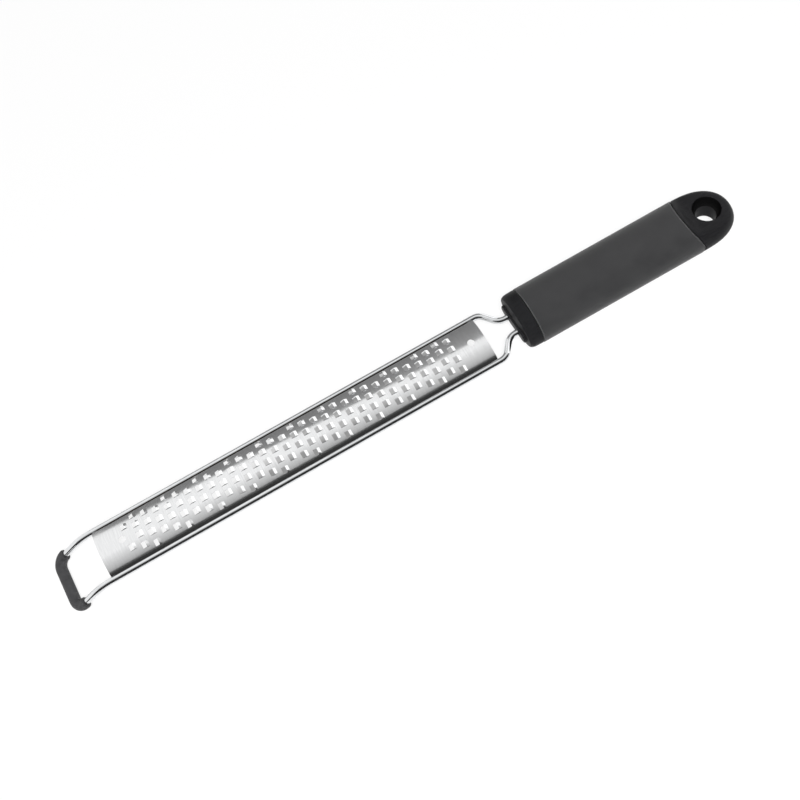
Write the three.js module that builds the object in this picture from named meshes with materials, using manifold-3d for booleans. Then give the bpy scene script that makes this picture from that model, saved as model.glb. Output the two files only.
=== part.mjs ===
// Hand rasp grater: an arched steel blade with raised square teeth, carried by one bent wire
// that drops to a rubber-sleeved foot at one end and runs into a soft-gripped handle at the other.
// Millimetres. +X runs from the foot to the hanging end, +Y across, +Z up from the table at z = 0.
import * as THREE from "three";
import { mergeGeometries, mergeVertices } from "three/addons/utils/BufferGeometryUtils.js";
import Module from "manifold-3d";

const wasm = await Module();
wasm.setup();

// Clearance left between pieces that are pressed, moulded or welded together
const clearance = 0.3;

// Wire frame
const wireDiameter = 3.2;
const railSpacing = 26.6;
const neckSpacing = 9.4;
const neckOffset = 4;
const neckAngle = THREE.MathUtils.degToRad(53);
const neckBendRadius = 6;
const neckLead = 1.8;
const tailDepth = 60;
const footReach = 21.2;
const footAngle = THREE.MathUtils.degToRad(32);
const footBendRadius = 22;
const footCornerRadius = 5;

// Foot sleeve, with a short straight lead past each of its two bends
const sleeveDiameter = 5.5;
const sleeveLead = 1;

// Blade
const bladeLength = 201.6;
const bladeRadius = 24.1;
const sheetThickness = 0.5;
const seatAngle = THREE.MathUtils.degToRad(38);
const locatingHoleDiameter = 3.5;
const locatingHoleFoot = 12;
const locatingHoleHandle = 6.9;

// Teeth: staggered columns of openings, each with a raised lip on its handle side
const toothLineSpacing = 1.87;
const toothPitch = 5.5;
const toothStart = 14.2;
const toothStagger = 3;
const restartedColumns = 2;
const plainSide = 3;
const plainEnd = 14;
const openingLength = 2;
const openingWidth = 3;
const lipHeight = 0.7;
const lipLength = 1.3;
const lipThickness = 0.35;
const lipSideWall = 0.32;
const lipSideLean = 0.12;

// Welds between the blade's edges and the rails, on the underside
const weldsPerRail = 4;
const weldDiameter = 1.2;
const weldLength = 4;

// Handle
const handleWidth = 29.8;
const handleThickness = 23.6;
const collarLength = 9.3;
const collarRounding = 5.6;
const frontCrown = 1;
const frontCrownShare = 0.88;
const gripLength = 86.3;
const gripWall = 3;
const gripProud = 0.3;
const gripFrontBow = 1.5;
const gripRearBow = 6.5;
const hangEndLength = 22.6;
const hangEndFullness = 2.3;
const hangEndThickness = 13.2;
const hangHoleDiameter = 12;
const hangHoleRim = 1.15;
const hangHoleToTip = 13.1;

// Front plug round the two wires
const plugWidth = 22;
const plugHeight = 6.4;
const plugDepth = 6;
const plugProud = 0.25;

// Facet counts
const wireSides = 12;
const bendSteps = 6;
const beadSides = 6;
const handleSides = 32;
const roundSteps = 6;
const holeSides = 24;
const rimSteps = 3;
const linesPerFacet = 2;

// Corners closer than this are one corner, and cutters run this far past what they cut
const mergeDistance = 1e-4;
const cutterReach = 1;

// Places worked out from the sizes above; x = 0 is the blade's foot end
const wireRadius = wireDiameter / 2;
const sleeveRadius = sleeveDiameter / 2;
const railY = railSpacing / 2;
const neckY = neckSpacing / 2;
const railZ = handleThickness / 2;
const footX = -footReach;
const footDrop = railZ - sleeveRadius;
const footCornerX = footX + footDrop / Math.tan(footAngle);
const neckOuterX = bladeLength + neckOffset;
const neckInnerX = neckOuterX + (railY - neckY) / Math.tan(neckAngle);
const handleX = neckInnerX + neckBendRadius * Math.tan(neckAngle / 2) + neckLead;
const gripFrontX = handleX + collarLength;
const gripRearX = gripFrontX + gripLength;
const buttX = gripRearX + hangEndLength;
const tailX = handleX + tailDepth;
const halfWidth = handleWidth / 2;
const halfThickness = handleThickness / 2;
const spineHalfWidth = halfWidth - gripWall;
const spineHalfThickness = halfThickness - gripWall;
const hangHoleX = buttX - hangHoleToTip;
const hangTopZ = railZ + hangEndThickness / 2;
const hangBottomZ = railZ - hangEndThickness / 2;

// The lower corners of the blade's long edges rest on the inner shoulders of the rails
const sheetInner = bladeRadius - sheetThickness;
const seatRadius = wireRadius + clearance;
const bladeEdgeY = railY - seatRadius * Math.sin(seatAngle);
const bladeEdgeZ = railZ + seatRadius * Math.cos(seatAngle);
const bladeHalfAngle = Math.asin(bladeEdgeY / sheetInner);
const bladeCentreZ = bladeEdgeZ - sheetInner * Math.cos(bladeHalfAngle);

const alongX = new THREE.Matrix4().makeBasis(
  new THREE.Vector3(0, 1, 0),
  new THREE.Vector3(0, 0, 1),
  new THREE.Vector3(1, 0, 0),
);
const acrossY = new THREE.Matrix4().makeBasis(
  new THREE.Vector3(1, 0, 0),
  new THREE.Vector3(0, 0, 1),
  new THREE.Vector3(0, -1, 0),
);

// Closed solid from a geometry, with its shared corners merged
function solidOf(geometry) {
  const bare = geometry.clone();
  bare.deleteAttribute("normal");
  bare.deleteAttribute("uv");
  const merged = mergeVertices(bare, mergeDistance);
  return new wasm.Manifold(
    new wasm.Mesh({
      numProp: 3,
      vertProperties: merged.attributes.position.array,
      triVerts: new Uint32Array(merged.index.array),
    }),
  );
}

function geometryOf(solid) {
  const mesh = solid.getMesh();
  const geometry = new THREE.BufferGeometry();
  geometry.setAttribute("position", new THREE.BufferAttribute(mesh.vertProperties, mesh.numProp));
  geometry.setIndex(new THREE.BufferAttribute(mesh.triVerts, 1));
  geometry.computeVertexNormals();
  return geometry;
}

// Outline in the Y-Z plane drawn along X from one station to another
function extrudeX(shape, fromX, toX) {
  const settings = { depth: toX - fromX, bevelEnabled: false, curveSegments: roundSteps };
  const geometry = new THREE.ExtrudeGeometry(shape, settings);
  return geometry.applyMatrix4(alongX).translate(fromX, 0, 0);
}

// Side outline in the X-Z plane drawn across Y, half to each side of the middle
function extrudeY(shape, width) {
  const settings = { depth: width, bevelEnabled: false, curveSegments: roundSteps };
  const geometry = new THREE.ExtrudeGeometry(shape, settings);
  return geometry.applyMatrix4(acrossY).translate(0, width / 2, 0);
}

function circle(radius, sides) {
  const corners = [];
  for (let i = 0; i < sides; i += 1) {
    const angle = (2 * Math.PI * i) / sides;
    corners.push(new THREE.Vector2(radius * Math.cos(angle), radius * Math.sin(angle)));
  }
  return corners;
}

// Straight runs joined by round bends; each straight is one step and each bend a few
class BentPath extends THREE.Curve {
  constructor(corners, radii) {
    super();
    this.stations = [corners[0].clone()];
    this.tangents = [corners[1].clone().sub(corners[0]).normalize()];
    for (let i = 1; i < corners.length - 1; i += 1) {
      this.addBend(corners[i - 1], corners[i], corners[i + 1], radii[i - 1]);
    }
    const last = corners.length - 1;
    this.stations.push(corners[last].clone());
    this.tangents.push(corners[last].clone().sub(corners[last - 1]).normalize());
  }

  addBend(before, corner, after, radius) {
    const incoming = corner.clone().sub(before).normalize();
    const outgoing = after.clone().sub(corner).normalize();
    const turn = incoming.angleTo(outgoing);
    const axis = incoming.clone().cross(outgoing).normalize();
    const start = corner.clone().addScaledVector(incoming, -radius * Math.tan(turn / 2));
    const centre = start.clone().addScaledVector(axis.clone().cross(incoming), radius);
    for (let step = 0; step <= bendSteps; step += 1) {
      const angle = (turn * step) / bendSteps;
      this.stations.push(start.clone().sub(centre).applyAxisAngle(axis, angle).add(centre));
      this.tangents.push(incoming.clone().applyAxisAngle(axis, angle));
    }
  }

  get steps() {
    return this.stations.length - 1;
  }

  getPointAt(share) {
    return this.stations[Math.round(share * this.steps)].clone();
  }

  getTangentAt(share) {
    return this.tangents[Math.round(share * this.steps)].clone();
  }
}

function sweep(shape, path) {
  const settings = { steps: path.steps, extrudePath: path, curveSegments: roundSteps };
  return new THREE.ExtrudeGeometry(shape, settings);
}

// One length of wire: in from the handle, along one rail, round the foot and back again
function wireFrame() {
  const half = [
    [tailX, neckY, railZ],
    [neckInnerX, neckY, railZ],
    [neckOuterX, railY, railZ],
    [footCornerX, railY, railZ],
    [footX, railY, sleeveRadius],
  ];
  const corners = half.map(([x, y, z]) => new THREE.Vector3(x, y, z));
  for (const [x, y, z] of [...half].reverse()) {
    corners.push(new THREE.Vector3(x, -y, z));
  }
  const radii = [neckBendRadius, neckBendRadius, footBendRadius, footCornerRadius];
  const path = new BentPath(corners, [...radii, ...[...radii].reverse()]);
  return sweep(new THREE.Shape(circle(wireRadius, wireSides)), path);
}

// Rubber tube pushed over the foot's cross bar and round its two corners
function footSleeve() {
  const leg = footCornerRadius + sleeveLead;
  const legX = leg * Math.cos(footAngle);
  const legZ = leg * Math.sin(footAngle);
  const corners = [
    new THREE.Vector3(footX + legX, railY, sleeveRadius + legZ),
    new THREE.Vector3(footX, railY, sleeveRadius),
    new THREE.Vector3(footX, -railY, sleeveRadius),
    new THREE.Vector3(footX + legX, -railY, sleeveRadius + legZ),
  ];
  const ring = new THREE.Shape(circle(sleeveRadius, wireSides));
  ring.holes.push(new THREE.Path(circle(wireRadius + clearance, wireSides).reverse()));
  return sweep(ring, new BentPath(corners, [footCornerRadius, footCornerRadius]));
}

// Point at an angle from the crest and a distance from the arch's centre
function archPoint(angle, radius) {
  return new THREE.Vector2(radius * Math.sin(angle), bladeCentreZ + radius * Math.cos(angle));
}

// Facet angles across the arch, with edges along tooth lines
function archAngles() {
  const facet = (linesPerFacet * toothLineSpacing) / bladeRadius;
  const inner = Math.ceil(bladeHalfAngle / facet) - 1;
  const angles = [-bladeHalfAngle];
  for (let i = -inner; i <= inner; i += 1) {
    angles.push(i * facet);
  }
  angles.push(bladeHalfAngle);
  return angles;
}

// Sector of the arch between two radii
function archShape(innerRadius, outerRadius) {
  const angles = archAngles();
  const outer = angles.map((angle) => archPoint(angle, outerRadius));
  const inner = angles.map((angle) => archPoint(angle, innerRadius));
  return new THREE.Shape([...inner, ...outer.reverse()]);
}

// Places of the teeth: every third line in each column, moved over by one line from column to column.
// The last few columns start the sequence again, and the plain margins are the least that is left.
function toothPlaces() {
  const holes = [locatingHoleFoot, bladeLength - locatingHoleHandle];
  const reach = (locatingHoleDiameter + openingLength) / 2 + lipLength;
  const sideLines = Math.floor((bladeHalfAngle * bladeRadius - plainSide) / toothLineSpacing);
  const columns = Math.floor((bladeLength - toothStart - plainEnd) / toothPitch) + 1;
  const lastInStep = columns - 1 - restartedColumns;
  const places = [];
  for (let column = 0; column < columns; column += 1) {
    const cycle = column > lastInStep ? column - lastInStep : column;
    const first = (cycle + toothStagger - 1) % toothStagger;
    for (let line = first; line <= 2 * sideLines; line += toothStagger) {
      const x = toothStart + column * toothPitch;
      const arc = (sideLines - line) * toothLineSpacing;
      const clear = holes.every((hole) => Math.hypot(x - hole, arc) > reach);
      if (clear) places.push({ x, angle: arc / bladeRadius });
    }
  }
  return places;
}

// Moves a shape made on the flat onto the arch at a tooth's place
function ontoArch(geometry, { x, angle }) {
  const place = new THREE.Matrix4()
    .makeTranslation(x, 0, bladeCentreZ)
    .multiply(new THREE.Matrix4().makeRotationX(-angle))
    .multiply(new THREE.Matrix4().makeTranslation(0, 0, bladeRadius));
  return geometry.clone().applyMatrix4(place);
}

// A lip's sides are rooted half way into the sheet, and its top ends a little under the sheet's face
const lipRoot = -sheetThickness / 2;
const lipEnd = -sheetThickness / 4;
const lipSlope = (lipHeight - lipEnd) / lipLength;

// Raised lip before it is hollowed: a low block whose top slopes down into the sheet
function lipGeometry() {
  const foot = openingWidth / 2 + lipSideWall;
  const shoulder = foot - lipSideLean;
  const front = new THREE.Shape([
    new THREE.Vector2(foot, lipRoot),
    new THREE.Vector2(shoulder, lipHeight),
    new THREE.Vector2(-shoulder, lipHeight),
    new THREE.Vector2(-foot, lipRoot),
  ]);
  const fall = (lipHeight - lipEnd) / (lipHeight - lipRoot);
  const lip = extrudeX(front, 0, lipLength);
  const corners = lip.attributes.position;
  for (let i = 0; i < corners.count; i += 1) {
    const kept = 1 - (fall * corners.getX(i)) / lipLength;
    corners.setZ(i, (corners.getZ(i) - lipRoot) * kept + lipRoot);
  }
  return lip.translate(openingLength / 2, 0, 0);
}

// Through opening that runs on under its lip, leaving the lip one bent sheet thick
function openingGeometry() {
  const edge = openingLength / 2;
  const below = -sheetThickness - cutterReach;
  const ceiling = lipHeight - lipThickness;
  const rear = edge + (ceiling - below) / lipSlope;
  const above = lipHeight + cutterReach;
  const side = new THREE.Shape([
    new THREE.Vector2(-edge, below),
    new THREE.Vector2(rear, below),
    new THREE.Vector2(edge, ceiling),
    new THREE.Vector2(edge, above),
    new THREE.Vector2(-edge, above),
  ]);
  return extrudeY(side, openingWidth);
}

function gratingBlade() {
  const places = toothPlaces();
  const lip = lipGeometry();
  const opening = openingGeometry();
  const lips = mergeGeometries(places.map((place) => ontoArch(lip, place)));
  const openings = mergeGeometries(places.map((place) => ontoArch(opening, place)));
  let blade = solidOf(extrudeX(archShape(sheetInner, bladeRadius), 0, bladeLength));
  blade = blade.add(solidOf(lips)).subtract(solidOf(openings));
  for (const x of [locatingHoleFoot, bladeLength - locatingHoleHandle]) {
    const radius = locatingHoleDiameter / 2;
    const depth = sheetThickness + 2 * cutterReach;
    const drill = new THREE.CylinderGeometry(radius, radius, depth, holeSides);
    drill.rotateX(Math.PI / 2).translate(x, 0, bladeCentreZ + bladeRadius - sheetThickness / 2);
    blade = blade.subtract(solidOf(drill));
  }
  return geometryOf(blade);
}

// Bead in the notch between the underside of the sheet and a rail
function weldBead() {
  const radius = weldDiameter / 2;
  const bead = new THREE.SphereGeometry(radius, beadSides, beadSides).rotateZ(Math.PI / 2);
  const fromCentre = sheetInner - clearance - radius;
  const fromRail = wireRadius + clearance + radius;
  const railDistance = Math.hypot(railY, railZ - bladeCentreZ);
  const railAngle = Math.atan2(railY, railZ - bladeCentreZ);
  const sides = fromCentre ** 2 + railDistance ** 2 - fromRail ** 2;
  const turn = Math.acos(sides / (2 * fromCentre * railDistance));
  const place = archPoint(railAngle - turn, fromCentre);
  return { bead: bead.scale(weldLength / weldDiameter, 1, 1), place };
}

// Body turned about the handle's axis and drawn out to an oval; profile radii run from 0 to 1
function ovalBody(profile, acrossHalf, upHalf) {
  const turned = new THREE.LatheGeometry(profile, handleSides).rotateZ(-Math.PI / 2);
  return turned.scale(1, acrossHalf, upHalf).translate(0, 0, railZ);
}

function ovalBar(fromX, toX, acrossHalf, upHalf) {
  const profile = [
    new THREE.Vector2(0, fromX),
    new THREE.Vector2(1, fromX),
    new THREE.Vector2(1, toX),
    new THREE.Vector2(0, toX),
  ];
  return ovalBody(profile, acrossHalf, upHalf);
}

// Side outline of the grip, bowed at both ends; spread widens it for the space round it
function gripSide(spread) {
  const reach = halfThickness + cutterReach;
  const growth = (reach / halfThickness) ** 2;
  const frontMid = gripFrontX - spread;
  const frontBow = gripFrontBow * growth;
  const rearMid = gripRearX + spread;
  const rearBow = gripRearBow * growth;
  const side = new THREE.Shape();
  side.moveTo(frontMid - frontBow, railZ - reach);
  side.lineTo(rearMid - rearBow, railZ - reach);
  side.quadraticCurveTo(rearMid + rearBow, railZ, rearMid - rearBow, railZ + reach);
  side.lineTo(frontMid - frontBow, railZ + reach);
  side.quadraticCurveTo(frontMid + frontBow, railZ, frontMid - frontBow, railZ - reach);
  return side;
}

// Outline of the plug seen from the front, with round ends
function plugShape(spread) {
  const radius = plugHeight / 2 + spread;
  const centre = plugWidth / 2 - plugHeight / 2;
  const shape = new THREE.Shape();
  shape.absarc(centre, railZ, radius, -Math.PI / 2, Math.PI / 2);
  shape.absarc(-centre, railZ, radius, Math.PI / 2, (3 * Math.PI) / 2);
  return shape;
}

// Pair of round cutters along the wire tails
function tailBores(fromX, toX) {
  const radius = wireRadius + clearance;
  const bores = [];
  for (const y of [-neckY, neckY]) {
    const bore = new THREE.CylinderGeometry(radius, radius, toX - fromX, holeSides);
    bores.push(bore.rotateZ(Math.PI / 2).translate((fromX + toX) / 2, y, railZ));
  }
  return solidOf(mergeGeometries(bores));
}

function frontPlug() {
  const frontX = handleX - plugProud;
  const backX = handleX + plugDepth;
  const plug = solidOf(extrudeX(plugShape(0), frontX, backX));
  return geometryOf(plug.subtract(tailBores(frontX - cutterReach, backX + cutterReach)));
}

// Hard plastic outline: crowned front, rounded collar, straight length, round hanging end
function coreProfile() {
  const points = [new THREE.Vector2(0, handleX)];
  const rimX = handleX + frontCrown;
  points.push(new THREE.Vector2(frontCrownShare, rimX));
  for (let step = 1; step <= roundSteps; step += 1) {
    const angle = ((Math.PI / 2) * step) / roundSteps;
    const radius = frontCrownShare + (1 - frontCrownShare) * Math.sin(angle);
    points.push(new THREE.Vector2(radius, rimX + collarRounding * (1 - Math.cos(angle))));
  }
  for (let step = 0; step <= roundSteps; step += 1) {
    const angle = ((Math.PI / 2) * step) / roundSteps;
    const radius = step < roundSteps ? Math.cos(angle) ** (2 / hangEndFullness) : 0;
    const along = Math.sin(angle) ** (2 / hangEndFullness);
    points.push(new THREE.Vector2(radius, gripRearX + hangEndLength * along));
  }
  return points;
}

// Side outline of the hanging end: full depth under the grip, ramped down to flats round the hole
function hangSide() {
  const frontX = handleX - cutterReach;
  const rearX = buttX + cutterReach;
  const rampStart = gripRearX - gripRearBow;
  const rampEnd = hangHoleX - hangHoleDiameter / 2 - hangHoleRim;
  const rampMid = (rampStart + rampEnd) / 2;
  const highest = railZ + halfThickness;
  const lowest = railZ - halfThickness;
  const side = new THREE.Shape();
  side.moveTo(frontX, lowest);
  side.lineTo(rampStart, lowest);
  side.bezierCurveTo(rampMid, lowest, rampMid, hangBottomZ, rampEnd, hangBottomZ);
  side.lineTo(rearX, hangBottomZ);
  side.lineTo(rearX, hangTopZ);
  side.lineTo(rampEnd, hangTopZ);
  side.bezierCurveTo(rampMid, hangTopZ, rampMid, highest, rampStart, highest);
  side.lineTo(frontX, highest);
  return side;
}

// Cutter for the hanging hole: a bore with rounded rims
function hangHole() {
  const wide = hangHoleDiameter / 2 + hangHoleRim;
  const half = [new THREE.Vector2(0, hangEndThickness / 2 + hangHoleRim)];
  half.push(new THREE.Vector2(wide, hangEndThickness / 2 + hangHoleRim));
  for (let step = 0; step <= rimSteps; step += 1) {
    const angle = ((Math.PI / 2) * step) / rimSteps;
    const radius = wide - hangHoleRim * Math.sin(angle);
    half.push(new THREE.Vector2(radius, hangEndThickness / 2 - hangHoleRim * (1 - Math.cos(angle))));
  }
  const lower = half.map((point) => new THREE.Vector2(point.x, -point.y));
  const cutter = new THREE.LatheGeometry([...lower, ...half.reverse()], holeSides);
  return cutter.rotateX(Math.PI / 2).translate(hangHoleX, 0, railZ);
}

// Hard core in one moulding: collar, spine under the grip and hanging end
function handleCore() {
  const hardWidth = halfWidth - gripProud;
  const hardThickness = halfThickness - gripProud;
  const across = handleWidth + cutterReach;
  const body = solidOf(ovalBody(coreProfile(), hardWidth, hardThickness));
  const spine = solidOf(ovalBar(handleX, hangHoleX, spineHalfWidth, spineHalfThickness));
  const gripSpace = solidOf(extrudeY(gripSide(clearance), across));
  const plugPocket = solidOf(
    extrudeX(plugShape(clearance), handleX - cutterReach, handleX + plugDepth + clearance),
  );
  const moulding = body.intersect(solidOf(extrudeY(hangSide(), across)));
  let core = moulding.subtract(gripSpace).add(spine.intersect(moulding));
  core = core.subtract(plugPocket).subtract(tailBores(handleX, tailX + clearance));
  return geometryOf(core.subtract(solidOf(hangHole())));
}

// Soft grip: an oval sleeve with bowed ends and a bore for the spine
function softGrip() {
  const outer = solidOf(ovalBar(handleX, buttX, halfWidth, halfThickness));
  const bore = ovalBar(handleX, buttX, spineHalfWidth + clearance, spineHalfThickness + clearance);
  const side = solidOf(extrudeY(gripSide(0), handleWidth + cutterReach));
  return geometryOf(outer.intersect(side).subtract(solidOf(bore)));
}

const steel = { color: 0xc9cbcc, roughness: 0.3, metalness: 1 };
const polishedSteel = { color: 0xd6d8d9, roughness: 0.12, metalness: 1 };
const blackRubber = { color: 0x3a3b3c, roughness: 0.75, metalness: 0 };
const softGrey = { color: 0x444546, roughness: 0.85, metalness: 0 };
const hardBlack = { color: 0x1f2021, roughness: 0.4, metalness: 0 };

const grater = new THREE.Group();
grater.position.x = -(buttX + footX - sleeveRadius) / 2;

function addPiece(name, geometry, finish) {
  const mesh = new THREE.Mesh(geometry, new THREE.MeshStandardMaterial(finish));
  mesh.name = name;
  grater.add(mesh);
  return mesh;
}

addPiece("grating_blade", gratingBlade(), steel);
addPiece("wire_frame", wireFrame(), polishedSteel);
addPiece("foot_sleeve", footSleeve(), blackRubber);
addPiece("handle_core", handleCore(), hardBlack);
addPiece("front_plug", frontPlug(), hardBlack);
addPiece("soft_grip", softGrip(), softGrey);

const { bead, place } = weldBead();
for (const [rail, side] of [["far", 1], ["near", -1]]) {
  for (let i = 0; i < weldsPerRail; i += 1) {
    const weld = addPiece(`weld_${rail}_${i + 1}`, bead, steel);
    weld.position.set((bladeLength * (i + 0.5)) / weldsPerRail, side * place.x, place.y);
  }
}

export default grater;
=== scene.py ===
# %% [markdown]
# # A rasp grater, piece by piece
# The grater is a long arched steel blade with rows of raised teeth, carried by one bent wire that
# ends in a rubber-sleeved foot and in a black handle with a soft grip. The measured solids are
# loaded first as a fixed frame in metres. Every piece below takes its place from their boxes, so
# that nothing has to be fitted by eye.

# %% Load the measured solids
import math

import bmesh
import bpy
from mathutils import Matrix, Vector


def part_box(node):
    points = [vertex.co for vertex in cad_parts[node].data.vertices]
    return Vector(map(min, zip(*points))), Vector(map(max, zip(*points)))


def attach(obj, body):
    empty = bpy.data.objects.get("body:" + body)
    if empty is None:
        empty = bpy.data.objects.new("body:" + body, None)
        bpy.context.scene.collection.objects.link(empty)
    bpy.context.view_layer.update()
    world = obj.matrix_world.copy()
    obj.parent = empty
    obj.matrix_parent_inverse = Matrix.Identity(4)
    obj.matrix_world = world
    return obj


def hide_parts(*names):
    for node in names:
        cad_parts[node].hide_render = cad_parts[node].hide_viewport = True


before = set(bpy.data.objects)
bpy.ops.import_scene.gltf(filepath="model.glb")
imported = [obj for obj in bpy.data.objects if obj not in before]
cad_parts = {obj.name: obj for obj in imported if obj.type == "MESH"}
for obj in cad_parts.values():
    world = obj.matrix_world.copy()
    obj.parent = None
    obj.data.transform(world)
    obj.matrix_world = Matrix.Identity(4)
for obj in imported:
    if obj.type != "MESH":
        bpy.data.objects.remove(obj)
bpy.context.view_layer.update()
MM = 0.001

# %% [markdown]
# ## The camera
# The photograph looks down on the grater from in front, about 63 degrees above the table, with the
# long axis running from lower left to upper right. A place, a viewing direction and an up direction
# give the camera's three axes, and the lens length gives the perspective.

# %% Camera
CAMERA_PLACE = Vector((-0.04822, -0.29944, 0.58619))
CAMERA_LOOK = Vector((0.0709, 0.4546, -0.8879)).normalized()
CAMERA_UP = Vector((0.4905, 0.7592, 0.4278))
SENSOR_IN_MM = 36
LENS_IN_MM = 63.05
camera_right = CAMERA_LOOK.cross(CAMERA_UP).normalized()
camera_up = camera_right.cross(CAMERA_LOOK)
camera_turn = Matrix((camera_right, camera_up, -CAMERA_LOOK)).transposed()

camera = bpy.data.objects.new("camera", bpy.data.cameras.new("camera"))
camera.data.sensor_width = SENSOR_IN_MM
camera.data.lens = LENS_IN_MM
camera.data.clip_start = 0.01
camera.matrix_world = Matrix.Translation(CAMERA_PLACE) @ camera_turn.to_4x4()
bpy.context.scene.collection.objects.link(camera)
bpy.context.scene.camera = camera
print("camera height in mm:", round(CAMERA_PLACE.z / MM))

# %% [markdown]
# ## Turning a mesh into a piece
# Each piece is shaped in a bmesh. When it is done, its doubles are merged, its faces are turned
# outwards, and it becomes an object that stands for the solids it replaces. Shading is smooth except
# across edges sharper than a given angle, as on a pressed or moulded part with crisp rims.

# %% Helper for finished pieces
MERGE = 0.002 * MM


def finish_piece(name, bm, material, nodes, crisp=35):
    bmesh.ops.remove_doubles(bm, verts=bm.verts, dist=MERGE)
    bmesh.ops.recalc_face_normals(bm, faces=bm.faces)
    mesh = bpy.data.meshes.new(name)
    bm.to_mesh(mesh)
    bm.free()
    mesh.shade_smooth()
    mesh.set_sharp_from_angle(angle=math.radians(crisp))
    mesh.materials.append(material)
    piece = bpy.data.objects.new(name, mesh)
    bpy.context.scene.collection.objects.link(piece)
    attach(piece, "root")
    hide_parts(*nodes)
    size = [round(value / MM, 1) for value in piece.dimensions]
    print(name, len(mesh.polygons), "faces, in mm:", size)
    return piece


# %% [markdown]
# ## Drawing out edges and faces
# Wire, strip and plug all grow by extrusion: a row of edges or a face is copied, joined to the old
# one by new faces, and moved. An extrusion returns its vertices, edges and faces in one list, so two
# small helpers sort them. Most rounded edges follow a quarter of a circle, cut into equal steps.

# %% Helpers for shapes
def quarter_turn(steps):
    """Angles from 0 to 90 degrees."""
    return [math.pi / 2 * step / steps for step in range(steps + 1)]


def draw_out(bm, edges, move):
    """Extrudes edges and moves the copy; returns its edges and vertices."""
    made = bmesh.ops.extrude_edge_only(bm, edges=edges)["geom"]
    verts = [item for item in made if isinstance(item, bmesh.types.BMVert)]
    bmesh.ops.translate(bm, verts=verts, vec=move)
    known = set(verts)
    drawn = [item for item in made
             if isinstance(item, bmesh.types.BMEdge) and known.issuperset(item.verts)]
    return drawn, verts


def thicken(bm, move):
    """Extrudes all faces and moves the copy."""
    made = bmesh.ops.extrude_face_region(bm, geom=bm.faces[:])["geom"]
    verts = [item for item in made if isinstance(item, bmesh.types.BMVert)]
    bmesh.ops.translate(bm, verts=verts, vec=move)


def edges_among(bm, verts):
    known = set(verts)
    return [edge for edge in bm.edges if known.issuperset(edge.verts)]


# %% [markdown]
# ## Shader helpers
# All finishes are worked out by nodes from the object's own coordinates, which are metres. A noise
# that is stretched along one axis gives brushing lines, an even one gives moulding grain. The first
# helpers make a finish and a noise, and turn the noise into a colour or a relief.

# %% Helpers for finishes
NOISE_LOW, NOISE_HIGH = 0.3, 0.7


def new_finish(name, **constants):
    material = bpy.data.materials.new(name)
    material.use_nodes = True
    shader = material.node_tree.nodes["Principled BSDF"]
    for socket, value in constants.items():
        shader.inputs[socket.replace("_", " ")].default_value = value
    return material, material.node_tree, shader


def object_place(tree):
    return tree.nodes.new("ShaderNodeTexCoord").outputs["Object"]


def grain(tree, feature, stretch=(1, 1, 1), detail=2.0):
    """Noise whose features are about the given size in metres, stretched by axis."""
    mapping = tree.nodes.new("ShaderNodeMapping")
    mapping.inputs["Scale"].default_value = [1 / (feature * share) for share in stretch]
    noise = tree.nodes.new("ShaderNodeTexNoise")
    noise.inputs["Scale"].default_value = 1
    noise.inputs["Detail"].default_value = detail
    tree.links.new(object_place(tree), mapping.inputs["Vector"])
    tree.links.new(mapping.outputs["Vector"], noise.inputs["Vector"])
    return noise.outputs["Fac"]


def tint(tree, source, dark, light):
    """Runs a noise between two colours."""
    ramp = tree.nodes.new("ShaderNodeValToRGB")
    stops = zip(ramp.color_ramp.elements, (NOISE_LOW, NOISE_HIGH), (dark, light))
    for element, position, colour in stops:
        element.position = position
        element.color = (*colour, 1)
    tree.links.new(source, ramp.inputs["Fac"])
    return ramp.outputs["Color"]


def coat(tree, shader, colour, roughness):
    tree.links.new(colour, shader.inputs["Base Color"])
    tree.links.new(roughness, shader.inputs["Roughness"])


def emboss(tree, shader, source, height, strength=1.0):
    """Lets a noise stand up from the surface by a height in metres."""
    bump = tree.nodes.new("ShaderNodeBump")
    bump.inputs["Strength"].default_value = strength
    bump.inputs["Distance"].default_value = height
    tree.links.new(source, bump.inputs["Height"])
    tree.links.new(bump.outputs["Normal"], shader.inputs["Normal"])


# %% [markdown]
# The other helpers reckon with values. A range is mapped onto another, evenly or with soft ends, and
# values are multiplied or otherwise joined. They give the gloss its range, and they serve where a
# finish depends on the place on the piece, as in the painted shade of a groove or a painted shadow.

# %% Helpers for values
def map_range(tree, source, start, end, low, high, way="LINEAR"):
    span = tree.nodes.new("ShaderNodeMapRange")
    span.interpolation_type = way
    names = ("From Min", "From Max", "To Min", "To Max")
    for name, value in zip(names, (start, end, low, high)):
        span.inputs[name].default_value = value
    tree.links.new(source, span.inputs["Value"])
    return span.outputs["Result"]


def spread(tree, source, low, high):
    """Maps the useful middle of a noise onto low to high."""
    return map_range(tree, source, NOISE_LOW, NOISE_HIGH, low, high)


def fade(tree, source, start, end, low=0.0, high=1.0):
    """Runs softly from low to high while the source runs from start to end."""
    return map_range(tree, source, start, end, low, high, "SMOOTHSTEP")


def reckon(tree, operation, *values):
    """One step of arithmetic on sockets and plain numbers."""
    node = tree.nodes.new("ShaderNodeMath")
    node.operation = operation
    for socket, value in zip(node.inputs, values):
        if isinstance(value, (int, float)):
            socket.default_value = value
        else:
            tree.links.new(value, socket)
    return node.outputs["Value"]


def times(tree, first, *others):
    for other in others:
        first = reckon(tree, "MULTIPLY", first, other)
    return first


def object_axes(tree):
    """The X, Y and Z of a point in the object's own coordinates."""
    axes = tree.nodes.new("ShaderNodeSeparateXYZ")
    tree.links.new(object_place(tree), axes.inputs["Vector"])
    return axes.outputs["X"], axes.outputs["Y"], axes.outputs["Z"]


# %% [markdown]
# ## Blade steel and weld steel
# The blade is satin stainless sheet: fine lines run across it from the brushing belt, and its gloss
# changes a little from place to place. The welds are rougher and slightly browned by heat.

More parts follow.
